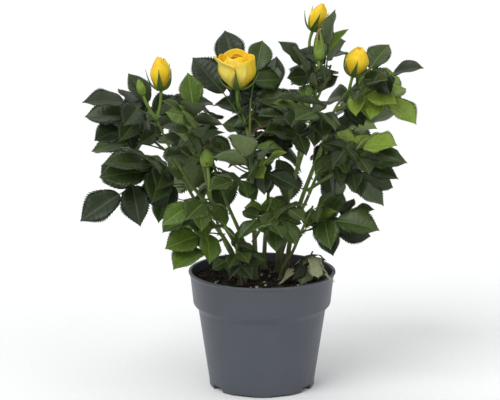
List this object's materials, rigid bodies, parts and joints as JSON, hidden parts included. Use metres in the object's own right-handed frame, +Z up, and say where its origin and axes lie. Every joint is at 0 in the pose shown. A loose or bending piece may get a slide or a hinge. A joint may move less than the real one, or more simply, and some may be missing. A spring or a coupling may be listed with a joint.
{
  "type": "miniature rose bush in a pot",
  "caption": "Bushy potted rose with divided, toothed leaves on several canes, yellow flowers opening at the shoot tips, and a tapered round nursery pot filled with soil.",
  "frame": {"origin": "middle of the pot's flat underside", "axes": "+Z up, -Y towards the viewer's side of the bush, +X to that viewer's right"},
  "size_m": [0.2961, 0.2094, 0.3383],
  "materials": {
    "pot_plastic": "satin blue-grey moulded plastic",
    "potting_soil": "moist dark peat with bark fibre and pale grit",
    "green_cane": "smooth green young bark, darker and thorny lower down",
    "leaf": "soft satin leaf with sunken veins",
    "withered_leaf": "dry, dull and crumpled",
    "petal": "soft velvety petal",
    "green_bud": "soft green bud and sepals"
  },
  "bodies": {
    "root": {"pot": "pot_plastic", "soil": "potting_soil", "cane_left": "green_cane", "cane_left_low": "green_cane", "cane_front_left": "green_cane", "cane_centre": "green_cane", "cane_sprout": "green_cane", "cane_top": "green_cane", "cane_right": "green_cane", "cane_right_low": "green_cane", "cane_back_left": "green_cane", "cane_back": "green_cane", "cane_back_right": "green_cane", "bough_front_low": "green_cane", "bough_front": "green_cane", "bough_left_mid": "green_cane", "bough_right_front": "green_cane", "bough_right_mid": "green_cane", "foliage_sprout": "leaf", "foliage_left": "leaf", "foliage_left_low": "leaf", "foliage_left_mid": "leaf", "foliage_front_left": "leaf", "foliage_front_low": "leaf", "foliage_front": "leaf", "foliage_centre": "leaf", "foliage_right_front": "leaf", "foliage_top": "leaf", "foliage_right": "leaf", "foliage_right_mid": "leaf", "foliage_right_low": "leaf", "foliage_back_left": "leaf", "foliage_back": "leaf", "foliage_back_right": "leaf", "withered_leaves": "withered_leaf", "bloom_left": "petal", "bloom_centre": "petal", "bloom_top": "petal", "bloom_right": "petal", "bud_left": "green_bud", "bud_front": "green_bud", "bud_top": "green_bud"}
  },
  "joints": []
}
